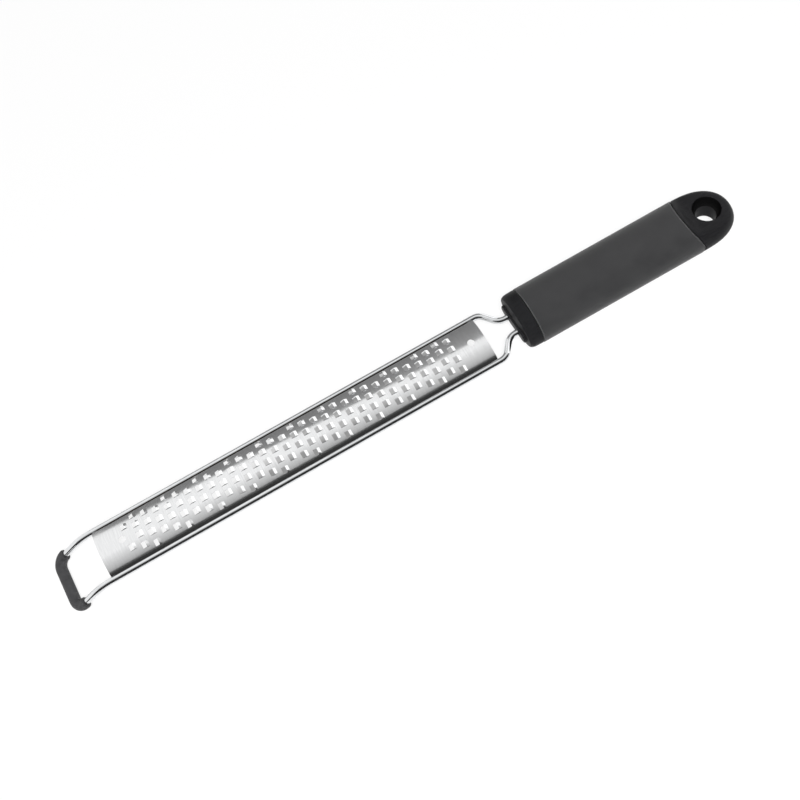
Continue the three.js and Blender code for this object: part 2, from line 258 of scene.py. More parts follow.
# %% Blade and weld steel
blade_steel, tree, shader = new_finish("blade_satin_steel", Metallic=1.0)
streaks = grain(tree, 0.2 * MM, stretch=(1, 40, 40), detail=3)
clouds = grain(tree, 14 * MM, stretch=(1, 2, 2))
coat(tree, shader, tint(tree, streaks, (0.78, 0.785, 0.79), (0.90, 0.905, 0.91)),
     spread(tree, clouds, 0.10, 0.15))
emboss(tree, shader, streaks, 0.0008 * MM)

weld_steel, tree, shader = new_finish("weld_heat_tinted_steel", Metallic=1.0)
scale_spots = grain(tree, 0.6 * MM, detail=4)
coat(tree, shader, tint(tree, scale_spots, (0.36, 0.31, 0.27), (0.66, 0.64, 0.61)),
     spread(tree, scale_spots, 0.32, 0.5))
emboss(tree, shader, scale_spots, 0.03 * MM)
print("steel finishes:", blade_steel.name, weld_steel.name)

# %% [markdown]
# ## Wire steel
# The wire is drawn and polished: its faint lines run lengthways, and it mirrors the room. Along the
# blade, the side of the wire that faces the sheet is painted dark, a painted shade in the groove
# between wire and sheet. The place decides where: close to the sheet, and only as far as the blade is
# long.

# %% Wire steel
GROOVE_OUTER = 12.75 * MM
GROOVE_INNER = 12.35 * MM
GROOVE_RUN_OUT = 4 * MM
GROOVE_SHADE_COLOUR = (0.10, 0.09, 0.08, 1)
blade_low, blade_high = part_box("grating_blade")

wire_steel, tree, shader = new_finish("wire_polished_steel", Metallic=1.0)
draw_lines = grain(tree, 0.2 * MM, stretch=(80, 1, 1))
handling = grain(tree, 6 * MM)
lengthways, crossways, _ = object_axes(tree)
# Painted shade: along the blade, the wire's side that faces the sheet is coloured dark.
groove_shade = times(tree, fade(tree, reckon(tree, "ABSOLUTE", crossways), GROOVE_OUTER, GROOVE_INNER),
               fade(tree, lengthways, blade_low.x, blade_low.x + GROOVE_RUN_OUT),
               fade(tree, lengthways, blade_high.x, blade_high.x - GROOVE_RUN_OUT))
shaded_mix = tree.nodes.new("ShaderNodeMix")
shaded_mix.data_type = "RGBA"
unshaded_colour, shade_colour = shaded_mix.inputs[6], shaded_mix.inputs[7]
shade_colour.default_value = GROOVE_SHADE_COLOUR
tree.links.new(groove_shade, shaded_mix.inputs["Factor"])
tree.links.new(tint(tree, handling, (0.74, 0.75, 0.76), (0.82, 0.83, 0.84)), unshaded_colour)
coat(tree, shader, shaded_mix.outputs[2], spread(tree, handling, 0.09, 0.15))
emboss(tree, shader, draw_lines, 0.001 * MM)
print("wire finish:", wire_steel.name)

# %% [markdown]
# ## Rubber finishes
# The grip is soft-touch rubber: matt, dark grey, with an even fine grain, and painted lighter along
# the moulded edges at its two ends, a painted highlight on the rounded edges. The foot sleeve is a
# plain rubber tube, a little smoother and patchier.

# %% Grip and sleeve
grip_rubber, tree, shader = new_finish("grip_soft_touch", Sheen_Weight=0.12, Sheen_Roughness=0.5,
                                       Specular_IOR_Level=0.35)
skin = grain(tree, 0.35 * MM, detail=3)
patches = grain(tree, 9 * MM)
coat(tree, shader, tint(tree, patches, (0.027, 0.027, 0.028), (0.035, 0.035, 0.036)),
     spread(tree, patches, 0.62, 0.74))
emboss(tree, shader, skin, 0.03 * MM, 0.7)

# Painted highlight: the grip's rounded end faces are coloured lighter.
grip_edge_highlight, tree, shader = new_finish("grip_edge_painted_highlight", Specular_IOR_Level=0.35)
edge_highlight_noise = grain(tree, 1.5 * MM, detail=3)
coat(tree, shader, tint(tree, edge_highlight_noise, (0.050, 0.050, 0.051), (0.090, 0.090, 0.091)),
     spread(tree, edge_highlight_noise, 0.5, 0.62))
emboss(tree, shader, edge_highlight_noise, 0.02 * MM, 0.5)

sleeve_rubber, tree, shader = new_finish("sleeve_rubber", Specular_IOR_Level=0.4)
bloom = grain(tree, 3 * MM, detail=4)
pores = grain(tree, 0.25 * MM)
coat(tree, shader, tint(tree, bloom, (0.028, 0.028, 0.030), (0.047, 0.047, 0.049)),
     spread(tree, bloom, 0.48, 0.62))
emboss(tree, shader, pores, 0.015 * MM, 0.6)
print("rubber finishes:", grip_rubber.name, grip_edge_highlight.name, sleeve_rubber.name)

# %% [markdown]
# ## Plastic finishes
# The core of the handle is hard black plastic with a satin mould finish, which shows soft sheens and
# a few hairline scuffs. The bowl of the hanging hole is painted blacker and duller, a painted shade
# in the hollow where light hardly gets.

# %% Moulding and hole
hard_black, tree, shader = new_finish("moulded_black_plastic", Specular_IOR_Level=0.06)
scuffs = grain(tree, 0.3 * MM, stretch=(14, 1, 3), detail=3)
texture = grain(tree, 0.16 * MM)
coat(tree, shader, tint(tree, scuffs, (0.010, 0.010, 0.011), (0.017, 0.017, 0.018)),
     spread(tree, scuffs, 0.36, 0.46))
emboss(tree, shader, texture, 0.006 * MM, 0.5)

# Painted shade: the bowl of the hanging hole is coloured darker than the moulding.
hole_painted_shade, tree, shader = new_finish("hole_bowl_painted_shade", Specular_IOR_Level=0.03)
shade_speckle = grain(tree, 0.4 * MM, detail=3)
coat(tree, shader, tint(tree, shade_speckle, (0.003, 0.003, 0.003), (0.006, 0.006, 0.006)),
     spread(tree, shade_speckle, 0.5, 0.6))
print("plastic finishes:", hard_black.name, hole_painted_shade.name)

# %% [markdown]
# ## The bent wire
# One wire runs along both edges of the blade, drops to a cross bar at the foot and narrows to two
# tails that enter the handle. It could be a curve with a bevel, but a wire bender is closer to how it
# is made: a round section is fed straight, then spun round a bend centre, then fed again. Only half
# of it is bent, from the middle of the cross bar to the tail, and the other half is its mirror image.

# %% A wire bender
class Bender:
    """Feeds a round section along straights and bends, and remembers its loose end."""

    def __init__(self, bm, place, direction, radius, sides):
        self.bm = bm
        self.place = Vector(place)
        self.direction = Vector(direction).normalized()
        turn = self.direction.to_track_quat("Z", "Y").to_matrix().to_4x4()
        made = bmesh.ops.create_circle(bm, cap_ends=False, radius=radius, segments=sides,
                                       matrix=Matrix.Translation(self.place) @ turn)
        self.ring = edges_among(bm, made["verts"])

    def feed(self, length, widen=1.0):
        step = self.direction * length
        self.ring, drawn = draw_out(self.bm, self.ring, step)
        self.place += step
        bmesh.ops.scale(self.bm, verts=drawn, vec=(widen, widen, widen),
                        space=Matrix.Translation(-self.place))

    def bend(self, direction, radius, steps):
        aim = Vector(direction).normalized()
        axis = self.direction.cross(aim).normalized()
        centre = self.place + axis.cross(self.direction) * radius
        angle = self.direction.angle(aim)
        corners = list(dict.fromkeys(vert for edge in self.ring for vert in edge.verts))
        made = bmesh.ops.spin(self.bm, geom=self.ring + corners, cent=centre, axis=axis,
                              dvec=(0, 0, 0), angle=angle, steps=steps, use_duplicate=False)
        self.ring = [item for item in made["geom_last"] if isinstance(item, bmesh.types.BMEdge)]
        self.place = centre + Matrix.Rotation(angle, 3, axis) @ (self.place - centre)
        self.direction = aim

    def close(self):
        bmesh.ops.edgeloop_fill(self.bm, edges=self.ring)


def mirror_half(bm):
    everything = bm.verts[:] + bm.edges[:] + bm.faces[:]
    bmesh.ops.mirror(bm, geom=everything, matrix=Matrix.Identity(4), merge_dist=MERGE, axis="Y")


# %% [markdown]
# The wire's height and width come from the measured solid. The foot drops at 32 degrees, and the neck
# turns in at 53 degrees, as read from the photograph. A bend takes up a tangent length before and
# after its corner, which is left off the straights.

# %% Bend the frame
WIRE_RADIUS = 1.6 * MM
WIRE_SIDES = 32
FOOT_DROP = math.radians(32)
FOOT_BEND = 22 * MM
CORNER_BEND = 5 * MM
NECK_TURN = math.radians(53)
NECK_BEND = 6 * MM
NECK_SPACING = 9.4 * MM
NECK_FROM_BLADE = 4 * MM
BEND_STEPS = 12
FOOT_STEPS = 14

wire_low, wire_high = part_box("wire_frame")
rail_y = wire_high.y - WIRE_RADIUS
rail_z = wire_high.z - WIRE_RADIUS
bar_x = wire_low.x + WIRE_RADIUS
bar_z = wire_low.z + WIRE_RADIUS
leg = Vector((math.cos(FOOT_DROP), 0, math.sin(FOOT_DROP)))
leg_length = (rail_z - bar_z) / math.sin(FOOT_DROP)
inward = Vector((math.cos(NECK_TURN), -math.sin(NECK_TURN), 0))
neck_tangent = NECK_BEND * math.tan(NECK_TURN / 2)
neck_length = (rail_y - NECK_SPACING / 2) / math.sin(NECK_TURN)

bm = bmesh.new()
wire = Bender(bm, (bar_x, 0, bar_z), (0, 1, 0), WIRE_RADIUS, WIRE_SIDES)
wire.feed(rail_y - CORNER_BEND)
wire.bend(leg, CORNER_BEND, BEND_STEPS)
wire.feed(leg_length - CORNER_BEND - FOOT_BEND * math.tan(FOOT_DROP / 2))
wire.bend((1, 0, 0), FOOT_BEND, FOOT_STEPS)
wire.feed(blade_high.x + NECK_FROM_BLADE - neck_tangent - wire.place.x)
wire.bend(inward, NECK_BEND, BEND_STEPS)
wire.feed(neck_length - 2 * neck_tangent)
wire.bend((1, 0, 0), NECK_BEND, BEND_STEPS)
wire.feed(wire_high.x - wire.place.x)
wire.close()
mirror_half(bm)
finish_piece("bent_wire", bm, wire_steel, ["wire_frame"])

# %% [markdown]
# ## The rubber foot
# A short rubber tube is pushed over the cross bar and round both corners, so that the grater doesn't
# slip. The same bender makes it: an outer wall and a bore follow the wire, and the end is rolled in
# over a few steps, so that it has the soft lip of a cut tube.

# %% Foot sleeve
SLEEVE_SIDES = 40
SLEEVE_STEPS = 14
SLEEVE_LIP = 0.6 * MM
SLEEVE_FIT = 0.1 * MM
SLEEVE_LEAD = 1.0 * MM
LIP_STEPS = 4
sleeve_low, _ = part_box("foot_sleeve")
sleeve_radius = wire_low.z - sleeve_low.z + WIRE_RADIUS

bm = bmesh.new()
walls = []
for radius in (sleeve_radius, WIRE_RADIUS + SLEEVE_FIT):
    wall = Bender(bm, (bar_x, 0, bar_z), (0, 1, 0), radius, SLEEVE_SIDES)
    wall.feed(rail_y - CORNER_BEND)
    wall.bend(leg, CORNER_BEND, SLEEVE_STEPS)
    wall.feed(SLEEVE_LEAD - SLEEVE_LIP)
    walls.append(wall)
outer, bore = walls
lip = [(SLEEVE_LIP * math.sin(angle), sleeve_radius - SLEEVE_LIP * (1 - math.cos(angle)))
       for angle in quarter_turn(LIP_STEPS)]
for (last_reach, last_radius), (reach, radius) in zip(lip, lip[1:]):
    outer.feed(reach - last_reach, radius / last_radius)
bore.feed(SLEEVE_LIP)
bmesh.ops.bridge_loops(bm, edges=outer.ring + bore.ring)
mirror_half(bm)
finish_piece("rubber_foot", bm, sleeve_rubber, ["foot_sleeve"])

# %% [markdown]
# ## The blade on the flat
# The blade is a thin strip of stainless sheet. On the real one the teeth are cut and pressed while
# the strip is flat, and then it is rolled to an arch. The mesh is made in the same order: a strip is
# laid out with lines where the teeth need them, the openings are cut away, the lips behind them are
# raised, and the whole strip is bent at the end. Boolean cuts of 117 small shapes would be slower and
# leave ragged shading.

# %% Lines of the strip
BLADE_RADIUS = 24.1 * MM
SHEET = 0.5 * MM
LINE_SPACING = 1.87 * MM
LINES_EACH_SIDE = 5
PITCH = 5.5 * MM
FIRST_COLUMN = 14.2 * MM
COLUMNS = 32
OPENING_LENGTH = 2.0 * MM
OPENING_WIDTH = 3.0 * MM
LIP_LENGTH = 1.3 * MM
LIP_SIDE = 0.12 * MM
LIP_LINES = (0, 0.35, 0.7, 1)
LEAD_IN = 1.1 * MM
EDGE_TURN = 1.3 * MM
EDGE_LINES = 3
FAR_GAP = 1.0 * MM
LEAST_STEP = 0.1 * MM
LINES_FROM_FOOT = (0, 4 * MM, 8 * MM)
LINES_FROM_HANDLE = (0, 4 * MM, 9 * MM)

blade_half_angle = math.asin(blade_high.y / BLADE_RADIUS)
half_arc = blade_half_angle * BLADE_RADIUS
arch_z = blade_low.z - (BLADE_RADIUS - SHEET) * math.cos(blade_half_angle)
blade_length = blade_high.x - blade_low.x

beside = LINE_SPACING - OPENING_WIDTH / 2
offsets = (-beside, LIP_SIDE - beside, beside - LIP_SIDE, beside, LINE_SPACING / 2)
far_edge = half_arc - FAR_GAP
across = [line * LINE_SPACING + offset
          for line in range(-LINES_EACH_SIDE - 1, LINES_EACH_SIDE + 2) for offset in offsets]
across = [arc for arc in across if EDGE_TURN - half_arc + LEAST_STEP < arc < far_edge - LEAST_STEP]
across += [EDGE_TURN * step / EDGE_LINES - half_arc for step in range(EDGE_LINES + 1)] + [far_edge]
across.sort()

front, back = -OPENING_LENGTH / 2, OPENING_LENGTH / 2
column_steps = [front - LEAD_IN, front] + [back + LIP_LENGTH * share for share in LIP_LINES]
along = set(LINES_FROM_FOOT)
along.update(blade_length - line for line in LINES_FROM_HANDLE)
for column in range(COLUMNS):
    along.update(FIRST_COLUMN + column * PITCH + step for step in column_steps)
along = sorted(along)
print("lines across:", len(across), "lines along:", len(along))

# %% [markdown]
# One vertex is drawn out to a row across the strip, and the row is drawn out along it. Each step ends
# on one of the lines, so every opening and lip has edges of its own.

# %% Lay out the strip
bm = bmesh.new()
last = [bm.verts.new((0, across[0], 0))]
for start, end in zip(across, across[1:]):
    last = bmesh.ops.extrude_vert_indiv(bm, verts=last)["verts"]
    bmesh.ops.translate(bm, verts=last, vec=(0, end - start, 0))
rim = bm.edges[:]
for start, end in zip(along, along[1:]):
    rim, _ = draw_out(bm, rim, (end - start, 0, 0))
print("strip:", len(bm.faces), "faces")

# %% [markdown]
# The teeth stand on eleven lines. Every third line has a tooth in one column, and the next column is
# moved over by one line, so that the rows run slantwise. The last two columns repeat the two before
# them, and teeth that would run into a locating hole are left out.

# %% Places of the teeth
HOLE_RADIUS = 1.75 * MM
HOLE_FROM_FOOT = 12 * MM
HOLE_FROM_HANDLE = 6.9 * MM
STAGGER = 3
REPEATED = 2
hole_places = (HOLE_FROM_FOOT, blade_length - HOLE_FROM_HANDLE)
hole_reach = HOLE_RADIUS + OPENING_LENGTH / 2 + LIP_LENGTH

teeth = []
for column in range(COLUMNS):
    pattern = column - REPEATED if column >= COLUMNS - REPEATED else column
    first_line = (pattern - 1) % STAGGER
    tooth_x = FIRST_COLUMN + column * PITCH
    for line in range(first_line, 2 * LINES_EACH_SIDE + 1, STAGGER):
        arc = (LINES_EACH_SIDE - line) * LINE_SPACING
        if all(math.hypot(tooth_x - hole, arc) > hole_reach for hole in hole_places):
            teeth.append((tooth_x, arc))
print("teeth:", len(teeth))

# %% [markdown]
# Each tooth loses the faces of its opening. The cut edge on the handle side is pressed up, highest in
# the middle, and falls to the sheet over the length of the lip, so that each lip is a small scoop that
# opens towards the foot.

# %% Cut the openings and press up the lips
LIP_HEIGHT = 0.6 * MM
LIP_ARCH = 0.12
SMALL = 0.001
half_length, half_opening = OPENING_LENGTH / 2, OPENING_WIDTH / 2
gone = []
for face in bm.faces:
    middle = face.calc_center_median()
    if any(abs(middle.x - x) < half_length and abs(middle.y - arc) < half_opening for x, arc in teeth):
        gone.append(face)
for vert in bm.verts:
    for x, arc in teeth:
        behind = (vert.co.x - x - half_length) / LIP_LENGTH
        sideways = abs(vert.co.y - arc) / half_opening
        if -SMALL < behind < 1 and sideways < 1 + SMALL:
            vert.co.z = LIP_HEIGHT * (1 - behind) * (1 - LIP_ARCH * sideways ** 2)
bmesh.ops.delete(bm, geom=gone, context="FACES")
print("faces left:", len(bm.faces))

# %% [markdown]
# Two round holes on the middle line located the strip in the press. The faces there are taken out,
# and the gap between the opening and a new circle is filled again with triangles, which keeps the
# rest of the strip untouched.

# %% Locating holes
HOLE_SIDES = 32
HOLE_PATCH = 2.7 * MM
for hole in hole_places:
    centre = Vector((hole, 0, 0))
    near = set()
    for face in bm.faces:
        offset = face.calc_center_median() - centre
        if abs(offset.x) < HOLE_PATCH and abs(offset.y) < HOLE_PATCH:
            near.add(face)
    border = [edge for edge in bm.edges if len(near.intersection(edge.link_faces)) == 1]
    bmesh.ops.delete(bm, geom=list(near), context="FACES")
    border = [edge for edge in border if edge.is_valid]
    made = bmesh.ops.create_circle(bm, cap_ends=False, radius=HOLE_RADIUS, segments=HOLE_SIDES,
                                   matrix=Matrix.Translation(centre))
    circle = edges_among(bm, made["verts"])
    bmesh.ops.triangle_fill(bm, use_beauty=True, edges=border + circle, normal=(0, 0, 1))
print("faces after the holes:", len(bm.faces))

# %% [markdown]
# Now the strip is given its thickness and rolled. The faces are extruded straight down, which keeps
# the cut walls upright; a thickness along the slanting normals would lean them over. In the roll, the
# distance across the strip becomes an angle round the arch's centre, and the height stays a height.
# The near edge is turned down a little onto its rail. The far edge stops short of its rail, which
# leaves the thin dark line that the photograph shows there.

# %% Thickness and roll
EDGE_FALL = 0.3 * MM
STRIP_SHIFT = 0.25 * MM
thicken(bm, (0, 0, -SHEET))
for vert in bm.verts:
    angle = vert.co.y / BLADE_RADIUS
    turned_down = max(0, (-vert.co.y - half_arc) / EDGE_TURN + 1)
    radius = BLADE_RADIUS + vert.co.z - EDGE_FALL * turned_down ** 2
    vert.co = (blade_low.x + vert.co.x, radius * math.sin(angle) - STRIP_SHIFT,
               arch_z + radius * math.cos(angle))
finish_piece("toothed_blade", bm, blade_steel, ["grating_blade"], crisp=15)

# %% [markdown]
# ## The welds
# The blade's edges rest against the rails and are spot-welded to them from below. A bead is a short
# run of molten metal with ripples across it, so each one starts as a sphere, is rippled, and is
# stretched along the rail. Its place is the middle of the measured bead.

# %% Weld beads
BEAD_GIRTH = 0.92
RIPPLE = 0.06
RIPPLE_TURN = 44
for node in sorted(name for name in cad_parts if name.startswith("weld_")):
    low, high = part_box(node)
    bm = bmesh.new()
    bmesh.ops.create_uvsphere(bm, u_segments=16, v_segments=24, radius=0.5,
                              matrix=Matrix.Rotation(math.pi / 2, 4, "Y"))
    for vert in bm.verts:
        girth = BEAD_GIRTH * (1 + RIPPLE * math.sin(vert.co.x * RIPPLE_TURN))
        vert.co.y *= girth
        vert.co.z *= girth
    bmesh.ops.scale(bm, verts=bm.verts, vec=high - low)
    bmesh.ops.translate(bm, verts=bm.verts, vec=(low + high) / 2)
    finish_piece(node + "_bead", bm, weld_steel, [node], crisp=60)

# %% [markdown]
# ## Cutting one mesh with another
# Holes through the mouldings are cut with a Boolean. The cutter is only a tool: the result is baked
# into a new mesh straight away and both helpers are thrown away, so no modifier is left.

# %% Boolean helper
def cut(bm, cutter):
    bodies = []
    for name, source in (("cut_body", bm), ("cut_tool", cutter)):
        bmesh.ops.remove_doubles(source, verts=source.verts, dist=MERGE)
        bmesh.ops.recalc_face_normals(source, faces=source.faces)
        mesh = bpy.data.meshes.new(name)
        source.to_mesh(mesh)
        source.free()
        body = bpy.data.objects.new(name, mesh)
        bpy.context.scene.collection.objects.link(body)
        bodies.append(body)
    body, tool = bodies
    boolean = body.modifiers.new("cut", "BOOLEAN")
    boolean.operation = "DIFFERENCE"
    boolean.solver = "EXACT"
    boolean.object = tool
    graph = bpy.context.evaluated_depsgraph_get()
    baked = bpy.data.meshes.new_from_object(body.evaluated_get(graph))
    result = bmesh.new()
    result.from_mesh(baked)
    for used in bodies:
        mesh = used.data
        bpy.data.objects.remove(used)
        bpy.data.meshes.remove(mesh)
    bpy.data.meshes.remove(baked)
    return result


# %% [markdown]
# ## Turning outlines
# The handle is close to a turned part, so its pieces start as outlines that are spun round the long
# axis. An outline's points say how far along they lie and how far out. On the grip and the core, 1
# is the full width. Rounded edges come from the quarter turn, at a front end or at a rear end.

# %% Helpers for turned pieces
POLE_MERGE = 1e-7


def turned(points, steps, closed):
    """Spins an outline of (along, out) points round the X axis."""
    bm = bmesh.new()
    verts = [bm.verts.new((x, 0, out)) for x, out in points]
    for first, second in zip(verts, verts[1:] + verts[:1] if closed else verts[1:]):
        bm.edges.new((first, second))
    bmesh.ops.spin(bm, geom=bm.verts[:] + bm.edges[:], cent=(0, 0, 0), axis=(1, 0, 0), dvec=(0, 0, 0),
                   angle=math.tau, steps=steps, use_merge=True, use_duplicate=False)
    bmesh.ops.remove_doubles(bm, verts=bm.verts, dist=POLE_MERGE)
    return bm


def rounded_rear(x, reach, depth, steps):
    """A rounded edge from the full width down to a rear end at x."""
    return [(x - reach * (1 - math.sin(angle)), 1 - depth * (1 - math.cos(angle)))
            for angle in quarter_turn(steps)]


def rounded_front(x, reach, depth, steps):
    """A rounded edge from a front end at x up to the full width."""
    return rounded_rear(x, -reach, depth, steps)[::-1]


# %% [markdown]
# ## The soft grip
# The grip is a soft sleeve moulded over the middle of the handle. In section it is an oval, and its
# two ends are bowed: they run further towards the foot at the top and the bottom than at the sides. A
# small outline is spun into a ring of round section, stretched to the oval and then bowed. The faces
# at its two ends take the painted edge highlight.

# %% Soft grip
HANDLE_SIDES = 128
GRIP_WALL = 0.2
GRIP_ROUND = 0.4 * MM
GRIP_FRONT_BOW = 0.5 * MM
GRIP_RINGS = 24
EDGE_STEPS = 4
FRONT_LEAN = 0.2 * MM
REAR_LEAN = 5.0 * MM
SIDE_SOFTNESS = 0.25

grip_low, grip_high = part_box("soft_grip")
handle_z = (grip_low.z + grip_high.z) / 2
half_width = grip_high.y
half_thick = grip_high.z - handle_z
grip_front = grip_low.x + GRIP_FRONT_BOW
grip_rear = grip_high.x
grip_edge_depth = GRIP_ROUND / half_width
ring_spacing = (grip_rear - grip_front - 2 * GRIP_ROUND) / GRIP_RINGS


def lean(z):
    """Share of the seam's lean at a height above the axis: none at the sides, all at the top."""
    full = math.hypot(1, SIDE_SOFTNESS) - SIDE_SOFTNESS
    return (math.hypot(z / half_thick, SIDE_SOFTNESS) - SIDE_SOFTNESS) / full


outline = [(grip_front, 1 - GRIP_WALL)]
outline += rounded_front(grip_front, GRIP_ROUND, grip_edge_depth, EDGE_STEPS)
outline += [(grip_front + GRIP_ROUND + ring_spacing * ring, 1) for ring in range(1, GRIP_RINGS)]
outline += rounded_rear(grip_rear, GRIP_ROUND, grip_edge_depth, EDGE_STEPS)
outline.append((grip_rear, 1 - GRIP_WALL))
bm = turned(outline, HANDLE_SIDES, closed=True)
bmesh.ops.scale(bm, verts=bm.verts, vec=(1, half_width, half_thick))
# The end faces take the painted highlight.
for face in bm.faces:
    middle = face.calc_center_median()
    if min(middle.x - grip_front, grip_rear - middle.x) < GRIP_ROUND:
        face.material_index = 1
for vert in bm.verts:
    share = (vert.co.x - grip_front) / (grip_rear - grip_front)
    vert.co.x -= (FRONT_LEAN * (1 - share) + REAR_LEAN * share) * lean(vert.co.z)
bmesh.ops.translate(bm, verts=bm.verts, vec=(0, 0, handle_z))
grip = finish_piece("soft_sleeve", bm, grip_rubber, ["soft_grip"], crisp=40)
grip.data.materials.append(grip_edge_highlight)

# %% [markdown]
# ## The front plug
# The wires enter the handle through a flat oval plug. A circle is parted down its middle and moved
# apart, which makes the oval; it is turned by half a side first, so that no corner lies on the
# parting line. It is filled, drawn out to a block, and its front edge is rounded over.

# %% Front plug
PLUG_WIDTH = 22 * MM
PLUG_HEIGHT = 6.4 * MM
PLUG_EDGE = 0.5 * MM
PLUG_BORE_FIT = 0.1 * MM
OVAL_SIDES = 48
LYING = Matrix.Rotation(math.pi / 2, 4, "Y")
plug_low, plug_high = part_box("front_plug")


def oval_block(width, height, start, end):
    bm = bmesh.new()
    half_side = Matrix.Rotation(math.pi / OVAL_SIDES, 4, "Z")
    bmesh.ops.create_circle(bm, cap_ends=True, radius=height / 2, segments=OVAL_SIDES,
                            matrix=LYING @ half_side)
    for vert in bm.verts:
        vert.co.y += math.copysign((width - height) / 2, vert.co.y)
    bmesh.ops.translate(bm, verts=bm.verts, vec=(start, 0, handle_z))
    thicken(bm, (end - start, 0, 0))
    return bm


def wire_bores(radius, start, end):
    bm = bmesh.new()
    for side in (-1, 1):
        place = Vector(((start + end) / 2, side * NECK_SPACING / 2, handle_z))
        bmesh.ops.create_cone(bm, cap_ends=True, segments=WIRE_SIDES, radius1=radius, radius2=radius,
                              depth=end - start, matrix=Matrix.Translation(place) @ LYING)
    return bm


bm = oval_block(PLUG_WIDTH, PLUG_HEIGHT, plug_low.x, plug_high.x)
front_edges = edges_among(bm, [vert for vert in bm.verts if abs(vert.co.x - plug_low.x) < MERGE])
bmesh.ops.bevel(bm, geom=front_edges, offset=PLUG_EDGE, affect="EDGES", segments=4, profile=0.5,
                material=-1)
bm = cut(bm, wire_bores(WIRE_RADIUS + PLUG_BORE_FIT, plug_low.x - MM, plug_high.x + MM))
finish_piece("wire_plug", bm, hard_black, ["front_plug"], crisp=40)

# %% [markdown]
# ## The hard core of the handle
# The core is one moulding: a rounded collar in front of the grip, a thinner spine under it, and behind
# it the hanging end. It is turned as one outline and stretched to the oval of the handle. The crowned
# front and the full round of the hanging end are curves by a formula, so they stay smooth.

# %% Turn the core
GRIP_PROUD = 0.15 * MM
SEAM = 0.25 * MM
CROWN = 1.0 * MM
CROWN_SHARE = 0.92
CROWN_STEPS = 8
COLLAR_ROUND = 2.8 * MM
COLLAR_STEPS = 12
COLLAR_STRAIGHT = 1.2 * MM
SHOULDER_ROUND = 0.35 * MM
SHOULDER_STEPS = 3
SPINE_SHARE = 0.765
END_POWER = 2 / 2.3
END_STEPS = 40
core_low, core_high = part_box("handle_core")
hard_width = half_width - GRIP_PROUD
hard_thick = half_thick - GRIP_PROUD
collar_rear = grip_front - SEAM
end_front = grip_rear + SEAM
end_start = end_front + SHOULDER_ROUND
end_length = core_high.x - end_start
shoulder = SHOULDER_ROUND / hard_width

crown = [step / CROWN_STEPS for step in range(CROWN_STEPS + 1)]
outline = [(core_low.x + CROWN * share ** 2, CROWN_SHARE * share) for share in crown]
outline += rounded_front(core_low.x + CROWN, COLLAR_ROUND, 1 - CROWN_SHARE, COLLAR_STEPS)[1:]
outline.append((collar_rear - COLLAR_STRAIGHT, 1))
outline += rounded_rear(collar_rear, SHOULDER_ROUND, shoulder, SHOULDER_STEPS)
outline += [(collar_rear, SPINE_SHARE), (end_front, SPINE_SHARE)]
outline += rounded_front(end_front, SHOULDER_ROUND, shoulder, SHOULDER_STEPS)
outline += [(end_start + end_length * math.sin(angle) ** END_POWER,
             max(0.0, math.cos(angle)) ** END_POWER) for angle in quarter_turn(END_STEPS)[1:]]
bm = turned(outline, HANDLE_SIDES, closed=False)
bmesh.ops.scale(bm, verts=bm.verts, vec=(1, hard_width, hard_thick))
print("core outline:", len(outline), "points")

# %% [markdown]
# The shoulders are bowed in the same way as the ends of the grip, so that the seam between them is
# even, and the collar grows thinner towards its front. The hanging end is thinner than the rest:
# behind the grip both faces sweep in to flats round the hole. Each point's height is held under a
# limit that falls along the handle, and a smooth minimum rounds the corner where the flat meets the
# side. Then the whole end drops a little towards its tip.

# %% Bow the shoulders and sweep down the hanging end
FRONT_LEAN_RUN = 4 * MM
REAR_LEAN_RUN = 11 * MM
NOSE_LENGTH = 7.0 * MM
NOSE_DROP = 0.2
HOLE_TO_TIP = 13.1 * MM
HANG_HOLE = 5.0 * MM
HANG_MOUTH = 6.9 * MM
HANG_EDGE = 0.35 * MM
FLAT_HALF = 6.6 * MM
SOFT_CORNER = 2.6 * MM
END_DROP = 2.0 * MM
DROP_POWER = 1.5
hang_x = core_high.x - HOLE_TO_TIP
sweep_start = grip_rear - REAR_LEAN
sweep_end = hang_x - HANG_MOUTH - HANG_EDGE
sweep_top = hard_thick + SOFT_CORNER
end_run = core_high.x - grip_rear


def soft_step(share):
    """Runs softly from 0 to 1."""
    share = min(1, max(0, share))
    return share * share * (3 - 2 * share)


def smooth_least(first, second, softness):
    mix = min(1, max(0, 0.5 + 0.5 * (second - first) / softness))
    return second + (first - second) * mix - softness * mix * (1 - mix)


for vert in bm.verts:
    x, y, z = vert.co
    if x <= collar_rear + MERGE:
        vert.co.z *= 1 - NOSE_DROP * max(0, 1 - (x - core_low.x) / NOSE_LENGTH) ** 2
        vert.co.x -= FRONT_LEAN * lean(z) * soft_step((x - collar_rear) / FRONT_LEAN_RUN + 1)
    elif x >= end_front - MERGE:
        vert.co.x -= REAR_LEAN * lean(z) * (1 - soft_step((x - end_front) / REAR_LEAN_RUN))
        run = min(1, max(0, (vert.co.x - sweep_start) / (sweep_end - sweep_start)))
        limit = sweep_top - (sweep_top - FLAT_HALF) * math.sin(math.pi / 2 * run)
        vert.co.z = math.copysign(smooth_least(abs(z), limit, SOFT_CORNER), z) if z else 0
        vert.co.z -= END_DROP * max(0, (vert.co.x - grip_rear) / end_run) ** DROP_POWER
bmesh.ops.translate(bm, verts=bm.verts, vec=(0, 0, handle_z))
print("hanging end flat to flat in mm:", round(2 * FLAT_HALF / MM, 1))
